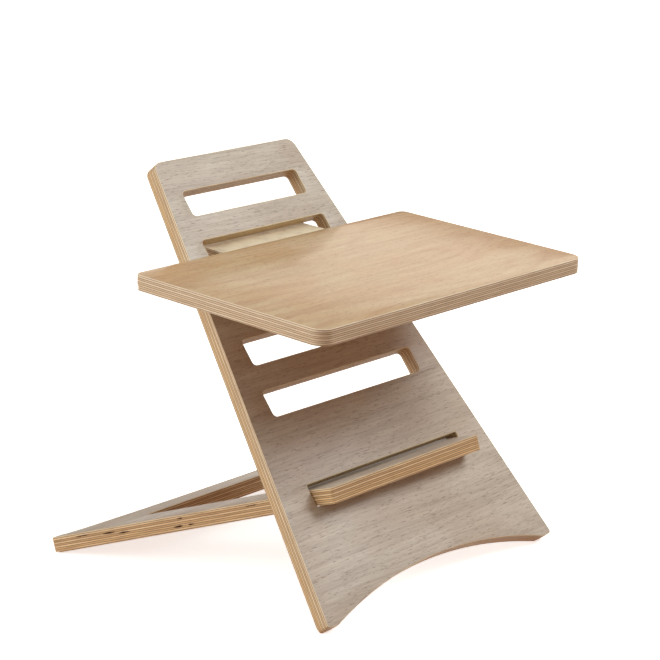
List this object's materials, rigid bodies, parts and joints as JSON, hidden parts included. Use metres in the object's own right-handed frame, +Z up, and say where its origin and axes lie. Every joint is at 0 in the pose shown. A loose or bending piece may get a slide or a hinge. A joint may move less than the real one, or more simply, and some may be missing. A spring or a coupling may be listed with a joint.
{
  "type": "laptop stand",
  "caption": "Slot-together plywood stand that raises a laptop: leaning slotted upright, level shelf with a tongue, and a sloping rear leg.",
  "frame": {"origin": "centre of the bounding box's base, on the surface the stand is put on", "axes": "+X to the right of someone facing the stand, +Y towards its rear, +Z up"},
  "size_m": [0.4896, 0.3606, 0.4104],
  "materials": {
    "oak_veneer": "satin lacquered oak veneer",
    "plywood_core": "sanded and lacquered plywood edge with visible plies"
  },
  "bodies": {
    "upright": {"upright_front_veneer": "oak_veneer", "upright_core": "plywood_core", "upright_rear_veneer": "oak_veneer"},
    "shelf": {"shelf_top_veneer": "oak_veneer", "shelf_core": "plywood_core", "shelf_bottom_veneer": "oak_veneer"},
    "leg": {"leg_top_veneer": "oak_veneer", "leg_core": "plywood_core", "leg_bottom_veneer": "oak_veneer"}
  },
  "joints": [
    {"name": "shelf_slide", "type": "slide", "parent": "upright", "child": "shelf", "axis": [0, -1, 0], "range_m": [0, 0.045]},
    {"name": "leg_slide", "type": "slide", "parent": "upright", "child": "leg", "axis": [0, 0.9336, -0.3584], "range_m": [0, 0.045]}
  ]
}
